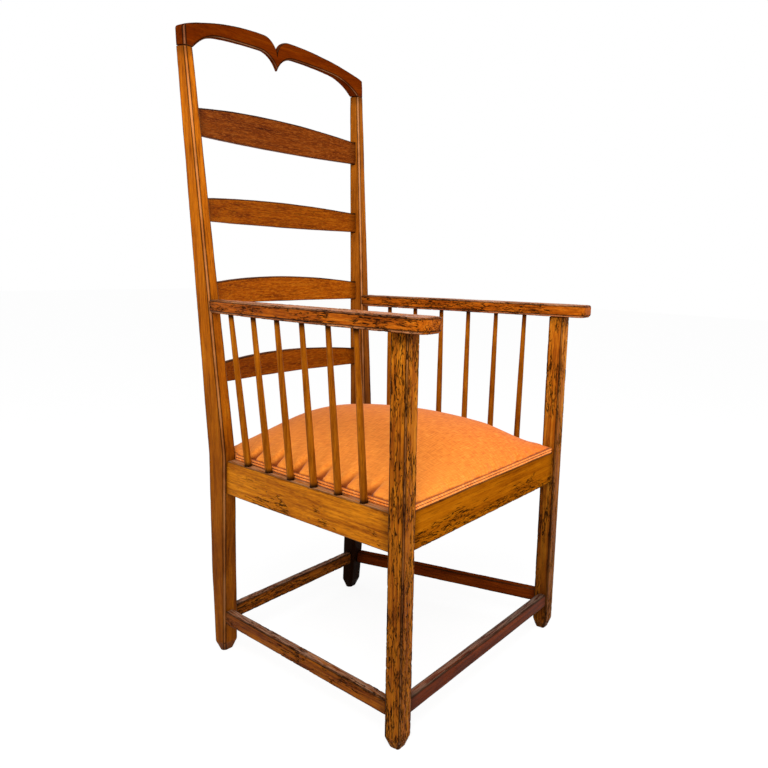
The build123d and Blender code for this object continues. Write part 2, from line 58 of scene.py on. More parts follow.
# Grain of the oak. Pores and ray flecks are drawn about twice their real width, to show
PORE_LENGTH = 46 * MM
PORE_WIDTH = 2.1 * MM
RING_LENGTH = 300 * MM
RING_WIDTH = 6 * MM
BLOTCH_LENGTH = 80 * MM
BLOTCH_WIDTH = 40 * MM
FLECK_LENGTH = 12 * MM
FLECK_WIDTH = 1.5 * MM
BLOTCH_SHARE = 0.35
PORE_SHARE = 0.4
DARK_FLECK_SHARE = 0.5
NOISE_MIDDLE = 0.5
OAK_STOPS = (0.34, 0.44, 0.54, 0.66)

# Splits along the grain, dashes of open pores as coarse as the pores above, and the patches that gather
# them
SPLIT_LENGTH = 48 * MM
SPLIT_WIDTH = 8 * MM
SPLIT_HALF_LEVEL = 0.04
DASH_LENGTH = 20 * MM
DASH_WIDTH = 2.1 * MM
PATCH_LENGTH = 90 * MM
PATCH_WIDTH = 24 * MM
CHECK_DEPTH = 0.8 * MM
LOW_EDGE = 30 * MM

# Slow waviness left by a hand plane
WAVE_LENGTH = 90 * MM
WAVE_WIDTH = 24 * MM
WAVE_DEPTH = 0.35 * MM
WAVE_SWING = (-1.0, 0.3)

# Levels between which a noise, or the turn of a face, brings each mark in
SPLIT_PATCH_LEVELS = (0.58, 0.64)
DASH_PATCH_LEVELS = (0.62, 0.68)
DASH_LEVELS = (0.56, 0.61)
PORE_LEVELS = (0.54, 0.62)
PALE_FLECK_LEVELS = (0.56, 0.6)
DARK_FLECK_LEVELS = (0.4, 0.44)
BARE_LEVELS = (0.42, 0.54)
UPWARD_LEVELS = (0.6, 0.9)
ARRIS_HIGHLIGHT_LEVELS = (0.35, 0.6)
GLOSS_LEVELS = (0.3, 0.7)
WAVE_LEVELS = (0.3, 0.7)

# Soil, wear, painted shade and painted highlight of the oak
SOIL_AND_SHADE_COLOUR = "#180903"
ARRIS_HIGHLIGHT_COLOUR = "#E2A878"
WAX_COLOUR = "#FFB060"
PORE_DARKNESS = 0.6
CHECK_DARKNESS = 0.95
CHECK_ROUGHNESS = 0.8
GLOSS_SWING = (-0.05, 0.08)
LEAST_ARRIS_HIGHLIGHT = 1 / 3
ARRIS_WAVER = 1.2 * MM
ARRIS_SOIL_WIDTHS = (1.15 * MM, 2.55 * MM)
END_SOIL_AND_SHADE_START = 1 * MM
LEG_SOIL_AND_SHADE_FOOT = 0.1
LEG_SOIL_AND_SHADE_TOP = 0.85
PORE_RELIEF = -0.4
OAK_RELIEF = 0.7 * MM

# Making of the oak meshes. The grain step gives each piece a stretch of grain of its own
MERGE_DISTANCE = 0.01 * MM
FLAT_ANGLE = math.radians(0.6)
SHARP_ANGLE = math.radians(20)
WORN_VOXEL = 1.7 * MM
FINE_VOXEL = 1.5 * MM
SOFTENING = 0.5
POST_ARRIS = 4 * MM
FAR_AWAY = 1.0
SLANT_START = 0.35
SLANT_RANGE = 0.25
GRAIN_STEP = np.array((1.7, 0.31, 0.23))

# Stuffed cover. It is shrunk, then blown up by a pressure, and none of it moves further than the cap. Its
# width is read in two bands, past these shares of its outline's points from the front
CUSHION_VOXEL = 5 * MM
CUSHION_SHRINK = 4 * MM
CUSHION_PRESSURE = 4.0
CUSHION_FRAMES = 20
CUSHION_CAP = 9 * MM
LEAST_MOVE = 1e-9
TACKED_HEIGHT = 12 * MM
END_SHARES = (0.1, 0.9)
END_BAND = 20 * MM
SHOULDER_HEIGHT = 40 * MM

# Creases beside the spindles' feet
SPINDLE_FOOT_RADIUS = 6.4 * MM
CREASE_DEPTH = 15 * MM
CREASE_HEIGHT = 84 * MM
CREASE_WIDTH = 8 * MM
CREASE_REACH = 34 * MM
CREASE_BEHIND = 6 * MM
CREASE_LEAN = 0.3
CREASE_SAG = 0.4

# Uneven stuffing: fuller on the right, a little flat on the left
FULLER_SIDE = 12 * MM
FULL_PLACE = 170 * MM
FULL_WIDTH = 90 * MM
FLAT_PLACE = -120 * MM
FLAT_WIDTH = 80 * MM
FLAT_SHARE = 0.35
FULL_MIDDLE = -30 * MM
FULL_LENGTH = 250 * MM
FULL_START = 20 * MM
FULL_RISE = 30 * MM

# Uneven front edge of the cover, as radians a metre and phases, and the painted shade along its seam
RIPPLES = ((83, 0.0), (131, 1.3), (211, 0.4))
RIPPLE_DEPTH = 0.5 * MM
RIPPLE_HEIGHT = 14 * MM
RIPPLE_WIDTH = 12 * MM
SEAM_HEIGHT = 10 * MM
SEAM_WIDTH = 3 * MM
SEAM_SHADE = 0.6

# Cloth. The linen's threads are drawn about three times their real width, to show. The level guard keeps
# cloth that lies level from a division by nothing
THREAD_PITCH = 2.3 * MM
JUTE_PITCH = 2.2 * MM
HESSIAN_PITCH = 2.0 * MM
SLUB_LENGTH = 20 * MM
WEAVE_STOPS = (0.34, 0.45, 0.55, 0.66)
WEAVE_RELIEF = 0.4 * MM
# Painted light, paler towards the window's side of the cover
PAINTED_LIGHT_COLOUR = "#FFB648"
PAINTED_LIGHT_SHARE = 0.28
PAINTED_LIGHT_MIDDLE = 0.5
PAINTED_LIGHT_SLOPE = 2.2
# Painted shade in the cover's creases and seam and on the piping
PAINTED_SHADE_LEVELS = (0.05, 0.75)
PAINTED_SHADE_DARKNESS = 0.85
LEVEL_GUARD = 0.02
WEFT_SHARE = 0.5
WEBBING_EASE = 0.3 * MM
LONG_STRAPS = 5
CROSS_STRAPS = 4

# Piping. It has painted shade above and below its middle, from a share of its radius on. Points of its
# plan that lie on one side agree within the tolerance, and its notches lie round the rear posts
CORD_STEP = 3 * MM
CORD_SIDES = 10
CORNER_POINTS = 6
CORD_WAVER = 0.9 * MM
WAVER_LENGTH = 70 * MM
PLAN_TOLERANCE = 0.5 * MM
NOTCH_DEPTH = 60 * MM
CORD_SHADE_START = 0.55

# White studio. Each lamp has its place and side in metres and its power in watts
LAMPS = {"window": ((-2.2, -1.4, 2.7), 1.6, 86.0), "fill": ((0.6, -2.8, 1.6), 2.0, 26.0)}
LAMP_TARGET = Vector((0.0, 0.0, 0.6))
SOFT_SKY = 0.6
WHITE_SKY = 1.0
FLOOR_REACH = 12.0
FLOOR_GLOW = 1.06
FLOOR_GLOW_SHARE = 0.85


def colour(code):
    """An sRGB hex colour as linear light with full alpha."""
    channels = [int(code[i:i + 2], 16) / 255 for i in (1, 3, 5)]
    return (*[c / 12.92 if c <= 0.04045 else ((c + 0.055) / 1.055) ** 2.4 for c in channels], 1.0)


def add(tree, kind, inputs=(), output=0, stops=(), **settings):
    """Adds a node with its settings, colour stops and links or values.

    Inputs follow the order of the node's sockets, or name them in a dict. It returns one output of the
    node, or all of them where output is None.
    """
    node = tree.nodes.new(kind)
    for name, value in settings.items():
        setattr(node, name, value)
    if stops:
        ramp = node.color_ramp
        while len(ramp.elements) < len(stops):
            ramp.elements.new(1.0)
        for element, (place, code) in zip(ramp.elements, stops):
            element.position = place
            element.color = colour(code)
    for key, value in inputs.items() if isinstance(inputs, dict) else enumerate(inputs):
        if isinstance(value, bpy.types.NodeSocket):
            tree.links.new(value, node.inputs[key])
        else:
            node.inputs[key].default_value = value
    return node.outputs if output is None else node.outputs[output]


def new_material(name):
    """An empty material and its node tree."""
    material = bpy.data.materials.new(name)
    material.use_nodes = True
    material.node_tree.nodes.clear()
    return material, material.node_tree


def open_tree(name, numbers):
    """A Geometry Nodes tree with geometry, some named numbers and a material as its inputs."""
    tree = bpy.data.node_groups.new(name, "GeometryNodeTree")
    tree.interface.new_socket("Geometry", in_out="INPUT", socket_type="NodeSocketGeometry")
    for number in numbers:
        tree.interface.new_socket(number, in_out="INPUT", socket_type="NodeSocketFloat")
    tree.interface.new_socket("Material", in_out="INPUT", socket_type="NodeSocketMaterial")
    tree.interface.new_socket("Geometry", in_out="OUTPUT", socket_type="NodeSocketGeometry")
    return tree, add(tree, "NodeGroupInput", output=None)


def close_tree(tree, geometry, material):
    """Ends a Geometry Nodes tree with real geometry that has its material."""
    whole = add(tree, "GeometryNodeRealizeInstances", (geometry,))
    dressed = add(tree, "GeometryNodeSetMaterial", {"Geometry": whole, "Material": material})
    add(tree, "NodeGroupOutput", (dressed,), output=None)


def set_inputs(modifier, values):
    """Sets a Geometry Nodes modifier's inputs by their names in its tree."""
    for item in modifier.node_group.interface.items_tree:
        if item.item_type == "SOCKET" and item.in_out == "INPUT" and item.name in values:
            modifier[item.identifier] = values[item.name]


# Marks of old oak, which its materials and its weathering share

def stretched_noise(tree, grain, length, width, detail, distortion=0.0):
    """Noise drawn out along the grain: one cell is length by width."""
    scale = (1 / length, 1 / width, 1 / width)
    scaled = add(tree, "ShaderNodeVectorMath", (grain, scale), operation="MULTIPLY")
    return add(tree, "ShaderNodeTexNoise", {"Vector": scaled, "Scale": 1.0, "Detail": detail,
                                            "Roughness": 0.6, "Distortion": distortion})


def splits(tree, grain):
    """Contour lines of a noise, which wander and close like splits in old wood."""
    noise = stretched_noise(tree, grain, SPLIT_LENGTH, SPLIT_WIDTH, detail=3.0, distortion=0.4)
    centred = add(tree, "ShaderNodeMath", (noise, NOISE_MIDDLE), operation="SUBTRACT")
    away = add(tree, "ShaderNodeMath", (centred,), operation="ABSOLUTE")
    return add(tree, "ShaderNodeMapRange", (away, 0.0, SPLIT_HALF_LEVEL, 1.0, 0.0),
               interpolation_type="SMOOTHSTEP")


def dashes(tree, grain):
    """Short dark dashes of open pores."""
    noise = stretched_noise(tree, grain, DASH_LENGTH, DASH_WIDTH, detail=2.0, distortion=0.5)
    return add(tree, "ShaderNodeMapRange", (noise, *DASH_LEVELS, 0.0, 1.0), interpolation_type="SMOOTHSTEP")


def check_field(tree, grain, spread):
    """Splits and dashes, gathered in patches that grow with the stored spread."""
    patches = stretched_noise(tree, grain, PATCH_LENGTH, PATCH_WIDTH, detail=3.0)
    where = add(tree, "ShaderNodeMath", (patches, spread), operation="ADD")
    gathered = []
    for marks, levels in ((splits, SPLIT_PATCH_LEVELS), (dashes, DASH_PATCH_LEVELS)):
        patch = add(tree, "ShaderNodeMapRange", (where, *levels, 0.0, 1.0), interpolation_type="SMOOTHSTEP")
        gathered.append(add(tree, "ShaderNodeMath", (marks(tree, grain), patch), operation="MULTIPLY"))
    return add(tree, "ShaderNodeMath", gathered, operation="MAXIMUM")


# Oak

def sawn_oak(tree, grain, pores, blotches, tones, flecks):
    """The wood's own colours: growth rings, open pores, and pale and dark ray flecks."""
    rings = stretched_noise(tree, grain, RING_LENGTH, RING_WIDTH, detail=2.0, distortion=0.5)
    clouded = add(tree, "ShaderNodeMix", {0: BLOTCH_SHARE, 2: rings, 3: blotches})
    figure = add(tree, "ShaderNodeMix", {0: PORE_SHARE, 2: clouded, 3: pores})
    ground = add(tree, "ShaderNodeValToRGB", (figure,), stops=list(zip(OAK_STOPS, tones)))
    open_pores = add(tree, "ShaderNodeMapRange", (pores, *PORE_LEVELS, 0.0, PORE_DARKNESS),
                     interpolation_type="SMOOTHSTEP")
    rays = stretched_noise(tree, grain, FLECK_LENGTH, FLECK_WIDTH, detail=1.0, distortion=0.3)
    pale_flecks = add(tree, "ShaderNodeMapRange", (rays, *PALE_FLECK_LEVELS, 0.0, flecks),
                      interpolation_type="SMOOTHSTEP")
    dark_flecks = add(tree, "ShaderNodeMapRange", (rays, *DARK_FLECK_LEVELS, flecks * DARK_FLECK_SHARE, 0.0),
                      interpolation_type="SMOOTHSTEP")
    for share, tone in ((open_pores, tones[0]), (pale_flecks, tones[3]), (dark_flecks, tones[0])):
        ground = add(tree, "ShaderNodeMix", {0: share, 6: ground, 7: colour(tone)}, output=2,
                     data_type="RGBA")
    return ground


def oak(name, tones, flecks=0.1, end_dirt_and_shade=0.4, end_reach=26 * MM, edge_dirt=0.6, rubbed=0.0, worn="#B59C84",
        arris_highlight=0.2, soil_and_shade=0.35, soil_and_shade_top=LEG_SOIL_AND_SHADE_TOP, roughness=0.34, wax=0.04):
    """Old oak. Tones run from the pores' colour to the palest early wood, and worn is its rubbed top.

    Shares from 0 to 1 say how strong its ray flecks are, its darkening near its ends (dirt and painted
    shade), the dirt along its arrises, the wear of its top, the painted highlight on its arrises, and its
    darkening towards the floor (soil and painted shade). Wax is its sheen.
    """
    material, tree = new_material(name)
    grain = add(tree, "ShaderNodeAttribute", output="Vector", attribute_name="grain")
    ends, edges, upward, slanted, height, spread = (
        add(tree, "ShaderNodeAttribute", output="Fac", attribute_name=stored)
        for stored in ("from_end", "from_edge", "upward", "slanted", "height", "checked"))
    pores = stretched_noise(tree, grain, PORE_LENGTH, PORE_WIDTH, detail=4.0)
    blotches = stretched_noise(tree, grain, BLOTCH_LENGTH, BLOTCH_WIDTH, detail=3.0)
    checks = check_field(tree, grain, spread)

    facing_up = add(tree, "ShaderNodeMapRange", (upward, *UPWARD_LEVELS, 0.0, rubbed),
                    interpolation_type="SMOOTHSTEP")
    bare = add(tree, "ShaderNodeMapRange", (pores, *BARE_LEVELS, 0.0, 1.0), interpolation_type="SMOOTHSTEP")
    rubbed_top = add(tree, "ShaderNodeMath", (facing_up, bare), operation="MULTIPLY")
    # Painted highlight on the slanted faces along the arrises, in patches, standing in for their gloss
    patchy_highlight = add(tree, "ShaderNodeMapRange", (blotches, *ARRIS_HIGHLIGHT_LEVELS, arris_highlight * LEAST_ARRIS_HIGHLIGHT, arris_highlight),
                 interpolation_type="SMOOTHSTEP")
    painted_highlight = add(tree, "ShaderNodeMath", (slanted, patchy_highlight), operation="MULTIPLY")
    # Darker towards the floor: soil, and painted shade under the seat
    leg_soil_and_shade = add(tree, "ShaderNodeMapRange", (height, LEG_SOIL_AND_SHADE_FOOT, soil_and_shade_top, soil_and_shade, 0.0),
                   interpolation_type="SMOOTHSTEP")
    # Darker near the ends, where pieces meet: dirt, and painted shade in the joints
    end_soil_and_shade = add(tree, "ShaderNodeMapRange", (ends, END_SOIL_AND_SHADE_START, end_reach, end_dirt_and_shade, 0.0),
                   interpolation_type="SMOOTHSTEP")
    waver = add(tree, "ShaderNodeMath", (blotches, ARRIS_WAVER), operation="MULTIPLY")
    wavering = add(tree, "ShaderNodeMath", (edges, waver), operation="ADD")
    arris_soil = add(tree, "ShaderNodeMapRange", (wavering, *ARRIS_SOIL_WIDTHS, edge_dirt, 0.0),
                     interpolation_type="SMOOTHSTEP")
    check_soil = add(tree, "ShaderNodeMath", (checks, CHECK_DARKNESS), operation="MULTIPLY")
    finished = sawn_oak(tree, grain, pores, blotches, tones, flecks)
    for share, tone in ((rubbed_top, worn), (painted_highlight, ARRIS_HIGHLIGHT_COLOUR), (leg_soil_and_shade, SOIL_AND_SHADE_COLOUR),
                        (end_soil_and_shade, SOIL_AND_SHADE_COLOUR), (arris_soil, SOIL_AND_SHADE_COLOUR), (check_soil, SOIL_AND_SHADE_COLOUR)):
        finished = add(tree, "ShaderNodeMix", {0: share, 6: finished, 7: colour(tone)}, output=2,
                       data_type="RGBA")

    glossiest, dullest = (roughness + swing for swing in GLOSS_SWING)
    gloss = add(tree, "ShaderNodeMapRange", (blotches, *GLOSS_LEVELS, glossiest, dullest),
                interpolation_type="SMOOTHSTEP")
    rough = add(tree, "ShaderNodeMix", {0: checks, 2: gloss, 3: CHECK_ROUGHNESS})
    pore_relief = add(tree, "ShaderNodeMath", (pores, PORE_RELIEF), operation="MULTIPLY")
    relief = add(tree, "ShaderNodeMath", (pore_relief, checks), operation="SUBTRACT")
    bump = add(tree, "ShaderNodeBump", {"Strength": 0.5, "Distance": OAK_RELIEF, "Height": relief})
    surface = add(tree, "ShaderNodeBsdfPrincipled", {
        "Base Color": finished, "Roughness": rough, "IOR": 1.45, "Specular IOR Level": wax,
        "Specular Tint": colour(WAX_COLOUR), "Normal": bump})
    add(tree, "ShaderNodeOutputMaterial", {"Surface": surface}, output=None)
    return material


OAKS = {
    # Side and rear rails: quarter sawn oak under wax, golden with fine dark streaks, pale where it is rubbed
    "honey": oak("quarter_sawn_oak_honey", ("#522202", "#944D06", "#BD6E0C", "#DB861A"), soil_and_shade=0.0,
                 rubbed=0.45, worn="#A8907C"),
    # Front rail: planed oak that has lost its wax, dry gold, with pits along its lower edge
    "pitted": oak("pitted_oak_front_rail", ("#5A2902", "#8C4804", "#A25A06", "#B66B0E"), soil_and_shade=0.0, wax=0.0),
    # Near front post: oak split by drying, orange brown between nearly black splits
    "checked": oak("checked_oak_posts", ("#451B05", "#93480C", "#C16E13", "#E69225"), edge_dirt=0.85,
                   soil_and_shade=0.44),
    # Far front post: the same oak, redder, less split and dark towards the floor
    "far_checked": oak("reddish_oak_post", ("#4B1D06", "#A04F0F", "#CE7717", "#EC9B32"), edge_dirt=0.85,
                       soil_and_shade=0.7),
    # Arms: oak polished by hands, pale on top, dark in its marks, with a painted peach highlight along its
    # arrises
    "handled": oak("rubbed_oak_arms", ("#4E1D05", "#914208", "#B85D0D", "#DE8121"), rubbed=0.45,
                   worn="#CC9466", edge_dirt=0.9, arris_highlight=0.5),
    # Near rear post: planed and waxed oak, clean and even, reddish gold, brown towards the floor
    "post": oak("waxed_oak_posts", ("#6A2F03", "#A05008", "#C66A0C", "#E28A1A"), edge_dirt=0.8, arris_highlight=0.35,
                soil_and_shade=0.62, soil_and_shade_top=1.1),
    # Far rear post: the same oak, darker, and nearly black towards the floor from soil and painted shade
    "smoked": oak("oak_post_soil_and_painted_shade", ("#5A2405", "#85450A", "#A4580F", "#BE711D"), edge_dirt=0.8, arris_highlight=0.35,
                  soil_and_shade=1.0),
    # Second slat: quarter sawn and waxed oak, golden with pale ray flecks
    "slat": oak("quarter_sawn_oak_slats", ("#4A1B02", "#873D04", "#A25005", "#BB6B13"), flecks=0.5,
                edge_dirt=0.85),
    # Lowest and third slats: the same oak, a little darker
    "dull_slat": oak("dull_quarter_sawn_oak", ("#401702", "#793403", "#914604", "#A75D0F"), flecks=0.5,
                     edge_dirt=0.85),
    # Top slat: the same oak, browner
    "brown_slat": oak("brown_oak_slats", ("#381104", "#652906", "#7B3807", "#98531C"), flecks=0.5,
                      edge_dirt=0.9),
    # Crest: stained oak, the darkest and reddest, almost without figure
    "crest": oak("russet_oak_crest", ("#441602", "#5D1F02", "#6C2902", "#803904"), end_dirt_and_shade=0.0,
                 edge_dirt=0.85, arris_highlight=0.35, roughness=0.28, wax=0.0),
    # Spindles: turned oak, plain and even, with dirt and painted shade where they enter the arms and rails
    "spindle": oak("turned_oak", ("#532303", "#844306", "#A45A0A", "#BD7316"), end_dirt_and_shade=0.95,
                   end_reach=11 * MM, edge_dirt=0.0, arris_highlight=0.0),
    # Front stretcher: oak kicked by heels, dark and greasy, rubbed grey on top
    "kicked": oak("kicked_oak_stretchers", ("#1C0702", "#3F1606", "#5D2407", "#7B370E"), rubbed=0.25,
                  edge_dirt=0.8, soil_and_shade=0.0, roughness=0.4),
    # Far stretcher: planed oak, cleaner, red brown and dull
    "russet": oak("reddish_oak_stretcher", ("#361003", "#521D04", "#6C2B06", "#88400C"), edge_dirt=0.8,
                  soil_and_shade=0.0, roughness=0.4, wax=0.0),
    # Near and rear stretchers: oak trodden by feet, golden brown between dark marks, rubbed grey on top
    "trodden": oak("trodden_oak_stretchers", ("#2A0D03", "#602A06", "#864608", "#A46014"), rubbed=0.5,
                   worn="#AA8870", edge_dirt=0.8, soil_and_shade=0.0, roughness=0.4),
}


def weathering():
    """A tree that presses splits and a slow waviness into a dense piece of old oak."""
    tree, source = open_tree("weathering", ("Check depth", "Wave depth"))
    grain = add(tree, "GeometryNodeInputNamedAttribute", {"Name": "grain"}, data_type="FLOAT_VECTOR")
    spread = add(tree, "GeometryNodeInputNamedAttribute", {"Name": "checked"}, data_type="FLOAT")
    checks = check_field(tree, grain, spread)
    noise = stretched_noise(tree, grain, WAVE_LENGTH, WAVE_WIDTH, detail=1.0)
    waves = add(tree, "ShaderNodeMapRange", (noise, *WAVE_LEVELS, *WAVE_SWING),
                interpolation_type="SMOOTHSTEP")
    planed = add(tree, "ShaderNodeMath", (waves, source["Wave depth"]), operation="MULTIPLY")
    split = add(tree, "ShaderNodeMath", (checks, source["Check depth"]), operation="MULTIPLY")
    push = add(tree, "ShaderNodeMath", (planed, split), operation="SUBTRACT")
    normal = add(tree, "GeometryNodeInputNormal")
    offset = add(tree, "ShaderNodeVectorMath", {0: normal, "Scale": push}, operation="SCALE")
    moved = add(tree, "GeometryNodeSetPosition", {"Geometry": source["Geometry"], "Offset": offset})
    close_tree(tree, moved, source["Material"])
    return tree


WEATHERING = weathering()


# Meshes

def placed(name, data):
    """A new object in the scene, at the origin."""
    holder = bpy.data.objects.new(name, data)
    bpy.context.scene.collection.objects.link(holder)
    return holder


def copy_of(node, name):
    """A merged copy of a CAD node's mesh as a new object."""
    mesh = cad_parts[node].data.copy()
    mesh.materials.clear()
    work = bmesh.new()
    work.from_mesh(mesh)
    bmesh.ops.remove_doubles(work, verts=work.verts, dist=MERGE_DISTANCE)
    bmesh.ops.dissolve_limit(work, angle_limit=FLAT_ANGLE, verts=work.verts, edges=work.edges)
    work.to_mesh(mesh)
    work.free()
    return placed(name, mesh)


def settle(piece):
    """Turns what the modifiers make into the piece's plain mesh."""
    graph = bpy.context.evaluated_depsgraph_get()
    mesh = bpy.data.meshes.new_from_object(piece.evaluated_get(graph), depsgraph=graph)
    piece.modifiers.clear()
    piece.data = mesh


def reskin(piece, voxel, passes):
    """Gives a piece an even, dense skin and eases its arrises."""
    remesh = piece.modifiers.new("skin", "REMESH")
    remesh.mode = "VOXEL"
    remesh.voxel_size = voxel
    soften = piece.modifiers.new("soften", "SMOOTH")
    soften.factor = SOFTENING
    soften.iterations = passes
    settle(piece)


def points_of(piece, field="co"):
    """The places of a piece's points, or their normals, as one row each."""
    flat = np.empty(len(piece.data.vertices) * 3, dtype=np.float64)
    piece.data.vertices.foreach_get(field, flat)
    return flat.reshape(-1, 3)


def move_points(piece, points):
    """Puts each point of a piece at its new place."""
    piece.data.vertices.foreach_set("co", points.ravel())


def store(piece, name, values):
    """Keeps a vector or a number for each point of a piece."""
    kind, field = ("FLOAT_VECTOR", "vector") if values.ndim == 2 else ("FLOAT", "value")
    attribute = piece.data.attributes.new(name, kind, "POINT")
    attribute.data.foreach_set(field, values.astype(np.float32).ravel())


def dress(piece, material, slot, *nodes):
    """Gives a finished piece its material, hides the CAD parts that it stands for, and hangs it from the root
    body.
    """
    for polygon in piece.data.polygons:
        polygon.use_smooth = True
    piece.data.materials.clear()
    piece.data.materials.append(material)
    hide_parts(*nodes)
    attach(piece, "root")


# Oak pieces

def sharp_segments(piece):
    """Both ends of each sharp edge of a merged CAD mesh."""
    work = bmesh.new()
    work.from_mesh(piece.data)
    sharp = [edge for edge in work.edges if edge.is_manifold and edge.calc_face_angle() > SHARP_ANGLE]
    segments = np.array([[tuple(vertex.co) for vertex in edge.verts] for edge in sharp])
    work.free()
    return segments


def chamfer_crest_ends(piece):
    """Cuts the posts' front arrises on up through the ends of the crest."""
    work = bmesh.new()
    work.from_mesh(piece.data)
    for side in (-1, 1):
        outward = Vector((side, -1.0, 0.0))
        corner = max(work.edges, key=lambda edge: sum(outward.dot(vertex.co) for vertex in edge.verts))
        foot, head = sorted((vertex.co.copy() for vertex in corner.verts), key=lambda point: point.z)
        facing = Vector((side, -1.0, (head.y - foot.y) / (head.z - foot.z)))
        place = foot - Vector((side * POST_ARRIS, 0.0, 0.0))
        parts = list(work.verts) + list(work.edges) + list(work.faces)
        made = bmesh.ops.bisect_plane(work, geom=parts, plane_co=place, plane_no=facing, clear_outer=True)
        rim = [part for part in made["geom_cut"] if isinstance(part, bmesh.types.BMEdge)]
        bmesh.ops.contextual_create(work, geom=rim)
    work.to_mesh(piece.data)
    work.free()


def nearest(points, segments):
    """Distance from each point to the nearest of some segments."""
    best = np.full(len(points), FAR_AWAY)
    for start, end in segments:
        run = end - start
        share = np.clip((points - start) @ run / (run @ run), 0.0, 1.0)
        best = np.minimum(best, np.linalg.norm(points - start - share[:, None] * run, axis=1))
    return best


def grain_axes(way, low, high):
    """Unit vectors along, across and through a board that runs up, across or back."""
    if way == "up":
        along, across = np.array((0.0, 0.0, 1.0)), np.array((1.0, 0.0, 0.0))
    elif way == "across":
        along, across = np.array((1.0, 0.0, 0.0)), np.array((0.0, 0.0, 1.0))
    else:
        run = (high - low) * (-np.sign(low[0] + high[0]), 1.0, 0.0)
        along, across = run / np.linalg.norm(run), np.array((0.0, 0.0, 1.0))
    return along, across, np.cross(along, across)


def lay_grain(piece, node, way, spread, low_spread, hidden, index):
    """Stores where each point lies in the board that it was cut from, and how checked the wood is there."""
    low, high = (np.array(corner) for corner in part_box(node))
    along, across, through = grain_axes(way, low, high)
    points, normals = points_of(piece), points_of(piece, "normal")
    away = points - (low + high) / 2
    place = np.stack([away @ along, away @ across, away @ through], axis=1)
    first, last = place[:, 0].min() + hidden[0], place[:, 0].max() - hidden[1]
    turned = np.abs(normals @ across)
    if way == "across":
        turned = np.maximum(turned, np.abs(normals @ along))
    slant = np.minimum(turned, np.abs(normals @ through))
    height = points[:, 2]
    store(piece, "grain", place + index * GRAIN_STEP)
    store(piece, "from_end", np.minimum(place[:, 0] - first, last - place[:, 0]))
    store(piece, "slanted", np.clip((slant - SLANT_START) / SLANT_RANGE, 0.0, 1.0))
    store(piece, "upward", normals[:, 2])
    store(piece, "height", height)
    store(piece, "checked", spread + low_spread * np.exp(-((height - low[2]) / LOW_EDGE) ** 2))


def worn_piece(node, way, finish, spread, low_spread, depth, hidden, index):
    """Old oak with rounded arrises, splits and a hand-planed waviness."""
    piece = copy_of(node, "oak_" + node)
    if finish == "crest":
        chamfer_crest_ends(piece)
    segments = sharp_segments(piece)
    if depth:
        reskin(piece, WORN_VOXEL, passes=3)
    else:
        reskin(piece, FINE_VOXEL, passes=1)
    lay_grain(piece, node, way, spread, low_spread, hidden, index)
    store(piece, "from_edge", nearest(points_of(piece), segments))
    weather = piece.modifiers.new("weather", "NODES")
    weather.node_group = WEATHERING
    set_inputs(weather, {"Check depth": depth, "Wave depth": WAVE_DEPTH, "Material": OAKS[finish]})
    settle(piece)
    dress(piece, OAKS[finish], "oak", node)


def turned_piece(node, hidden, index):
    """A smooth spindle, with its grain along it."""
    piece = copy_of(node, "oak_" + node)
    reskin(piece, FINE_VOXEL, passes=2)
    lay_grain(piece, node, "up", CLEAN, 0.0, hidden, index)
    store(piece, "from_edge", np.full(len(piece.data.vertices), FAR_AWAY))
    dress(piece, OAKS["spindle"], "oak", node)


# An arm's front end is open, so the dirt and painted shade at its ends start past it
CLEAN = -0.3
RAIL_TENONS = (8 * MM, 8 * MM)
SLAT_TENONS = (9 * MM, 9 * MM)
STRETCHER_TENONS = (9 * MM, 9 * MM)
FRONT_POST_TENON = (0.0, 14 * MM)
REAR_POST_TENON = (0.0, 16 * MM)
ARM_END = (-30 * MM, 9 * MM)
SPINDLE_TENONS = (14 * MM, 12 * MM)
NO_TENONS = (0.0, 0.0)

